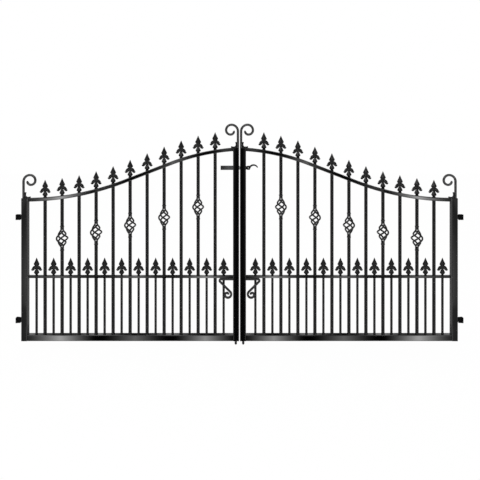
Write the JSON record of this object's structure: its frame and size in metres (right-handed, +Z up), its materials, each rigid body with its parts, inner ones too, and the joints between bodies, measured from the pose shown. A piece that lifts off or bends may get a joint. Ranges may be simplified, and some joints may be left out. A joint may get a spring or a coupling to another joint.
{
  "type": "double driveway gate",
  "caption": "Black iron double driveway gate with curved top rails, spear finials, twisted basket bars and scrolls; leaves swing inward, drop bolts lift and a latch slides.",
  "frame": {"origin": "centre of the post face of the lower left hinge fixing, on the leaves' middle plane", "axes": "+X along the closed gate from the left post to the right post, +Y through it to the inner side, +Z up"},
  "size_m": [2.823, 0.1337, 1.4112],
  "materials": {
    "frame_black": "gloss black powder coat on steel tube and flat bar",
    "bar_black": "gloss black powder coat on solid round bar",
    "wire_black": "gloss black powder coat on twisted round wire",
    "cast_black": "gloss black powder coat on castings",
    "scroll_black": "gloss black powder coat on bent bar",
    "hardware_black": "gloss black powder coat on hinges, bolts and latch"
  },
  "bodies": {
    "post_fixings": {"left_hinge_fixings": "hardware_black", "right_hinge_fixings": "hardware_black"},
    "left_leaf": {"left_hinge_eyes": "hardware_black", "left_hinge_stile": "frame_black", "left_meeting_stile": "frame_black", "left_bottom_rail": "frame_black", "left_middle_rail": "frame_black", "left_top_rail": "frame_black", "left_plain_bars": "bar_black", "left_basket_bars": "bar_black", "left_baskets": "wire_black", "left_bar_finials": "cast_black", "left_dog_bars": "bar_black", "left_dog_finials": "cast_black", "left_hinge_scroll": "scroll_black", "left_meeting_scroll": "scroll_black", "left_corner_brackets": "cast_black", "left_rail_bracket": "scroll_black", "left_bolt_guides": "hardware_black", "left_latch_keeper": "hardware_black"},
    "right_leaf": {"right_hinge_eyes": "hardware_black", "right_hinge_stile": "frame_black", "right_meeting_stile": "frame_black", "right_bottom_rail": "frame_black", "right_middle_rail": "frame_black", "right_top_rail": "frame_black", "right_plain_bars": "bar_black", "right_basket_bars": "bar_black", "right_baskets": "wire_black", "right_bar_finials": "cast_black", "right_dog_bars": "bar_black", "right_dog_finials": "cast_black", "right_hinge_scroll": "scroll_black", "right_meeting_scroll": "scroll_black", "right_corner_brackets": "cast_black", "right_rail_bracket": "scroll_black", "right_bolt_guides": "hardware_black", "right_latch_guide": "hardware_black"},
    "latch": {"latch_bolt": "hardware_black"},
    "left_bolt": {"left_drop_bolt": "hardware_black"},
    "right_bolt": {"right_drop_bolt": "hardware_black"}
  },
  "joints": [
    {"name": "left_leaf_swing", "type": "hinge", "parent": "post_fixings", "child": "left_leaf", "pos_m": [0.0225, 0, 0], "axis": [0, 0, 1], "range_deg": [0, 90]},
    {"name": "right_leaf_swing", "type": "hinge", "parent": "post_fixings", "child": "right_leaf", "pos_m": [2.8005, 0, 0], "axis": [0, 0, -1], "range_deg": [0, 90]},
    {"name": "latch_slide", "type": "slide", "parent": "right_leaf", "child": "latch", "axis": [-1, 0, 0], "range_m": [0, 0.018]},
    {"name": "left_bolt_lift", "type": "slide", "parent": "left_leaf", "child": "left_bolt", "axis": [0, 0, 1], "range_m": [0, 0.1]},
    {"name": "right_bolt_lift", "type": "slide", "parent": "right_leaf", "child": "right_bolt", "axis": [0, 0, 1], "range_m": [0, 0.1]}
  ]
}
